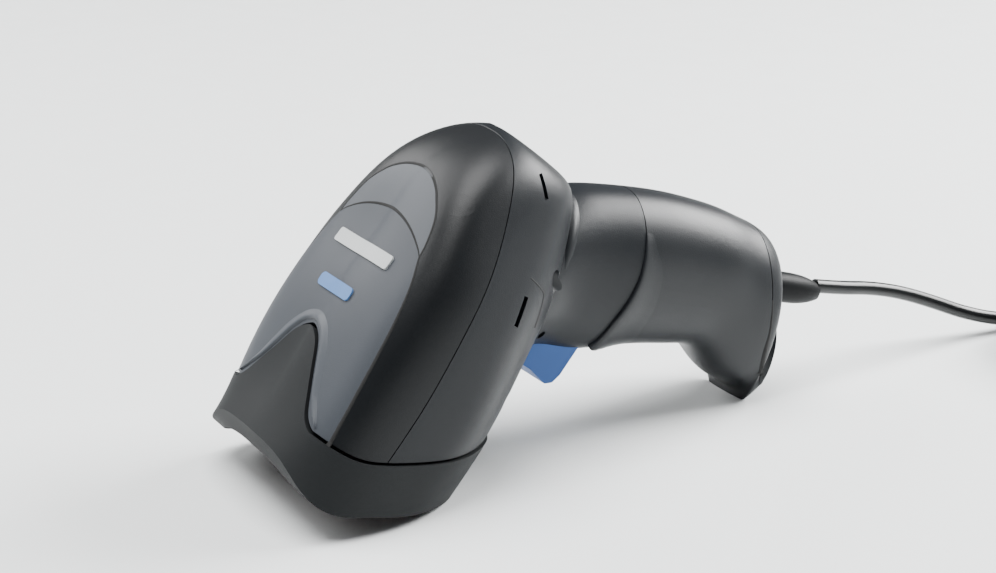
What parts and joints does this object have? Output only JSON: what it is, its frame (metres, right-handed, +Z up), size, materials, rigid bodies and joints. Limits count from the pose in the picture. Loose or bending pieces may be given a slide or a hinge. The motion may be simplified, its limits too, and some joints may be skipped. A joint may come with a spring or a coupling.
{
  "type": "handheld barcode scanner",
  "caption": "Pistol-shaped barcode scanner lying on its nose and butt, with a rubber nose, a sprung blue trigger under the head and a tied cord with a computer plug.",
  "frame": {"origin": "middle of the scanner without its cord, on the table", "axes": "+Z up from the table, +X from the nose to the butt and on along the cord, +Y to the scanner's left side as seen from behind"},
  "size_m": [0.3658, 0.1053, 0.0912],
  "materials": {
    "nose_rubber": "matte, fine grain",
    "cover_plastic": "fine spark texture",
    "panel_plastic": "fine spark texture",
    "lens_plastic": "milky, fine texture",
    "housing_plastic": "fine spark texture",
    "grip_rubber": "soft satin",
    "cap_plastic": "fine spark texture",
    "window_glass": "clear, tinted",
    "black_foam": "matte",
    "badge_silver": "satin",
    "badge_blue": "satin",
    "label_paper": "satin film",
    "inner_plastic": "matte",
    "lens_glass": "coated",
    "board_green": "solder mask",
    "chip_black": "matte",
    "lamp_white": "clear epoxy",
    "amber_lens": "clear",
    "light_pipe": "clear epoxy",
    "connector_ivory": "matte",
    "plug_clear": "clear moulding",
    "ribbon_white": "satin film",
    "trigger_blue": "fine texture",
    "pin_steel": "ground",
    "spring_steel": "drawn wire",
    "screw_steel": "black zinc",
    "cord_black": "satin jacket",
    "tie_black": "satin",
    "plug_black": "satin",
    "shield_steel": "nickel plated",
    "tongue_white": "satin",
    "contact_gold": "gold plated"
  },
  "bodies": {
    "scanner": {"nose_bumper": "nose_rubber", "top_cover": "cover_plastic", "top_panel": "panel_plastic", "light_lens": "lens_plastic", "lower_housing": "housing_plastic", "handle_grip": "grip_rubber", "butt_cap": "cap_plastic", "scan_window": "window_glass", "window_seal": "black_foam", "maker_badge": "badge_silver", "model_badge": "badge_blue", "rating_label": "label_paper", "imager_chassis": "inner_plastic", "lens_barrel": "inner_plastic", "lens_glass": "lens_glass", "sensor_board": "board_green", "image_sensor": "chip_black", "light_board": "board_green", "light_lamps": "lamp_white", "aimer_lens": "amber_lens", "beeper": "chip_black", "status_board": "board_green", "status_lamp": "light_pipe", "main_board": "board_green", "board_chips": "chip_black", "ribbon_connector": "connector_ivory", "cable_jack": "inner_plastic", "modular_plug": "plug_clear", "ribbon_cable": "ribbon_white", "trigger_pin": "pin_steel", "switch_body": "inner_plastic", "trigger_spring": "spring_steel", "housing_screws": "screw_steel", "board_screws": "screw_steel", "cord_run": "cord_black", "cord_tail": "cord_black", "cable_boot": "plug_black", "cord_coil": "cord_black", "coil_tie": "tie_black", "usb_grip": "plug_black", "usb_shield": "shield_steel", "usb_tongue": "tongue_white", "usb_contacts": "contact_gold"},
    "trigger": {"trigger": "trigger_blue"},
    "plunger": {"switch_plunger": "connector_ivory"}
  },
  "joints": [
    {"name": "trigger_pull", "type": "hinge", "parent": "scanner", "child": "trigger", "pos_m": [-0.002, 0, 0.03594], "axis": [0, -1, 0], "range_deg": [0, 9], "stiffness_Nm_per_rad": 0.2, "springref_deg": -17.19, "deforming": ["trigger_spring"]},
    {"name": "switch_press", "type": "slide", "parent": "scanner", "child": "plunger", "axis": [0.6639, 0, 0.7478], "range_m": [0, 0.0015]}
  ],
  "couplings": [
    {"joint": "switch_press", "follows": "trigger_pull", "m_per_rad": 0.0085}
  ]
}
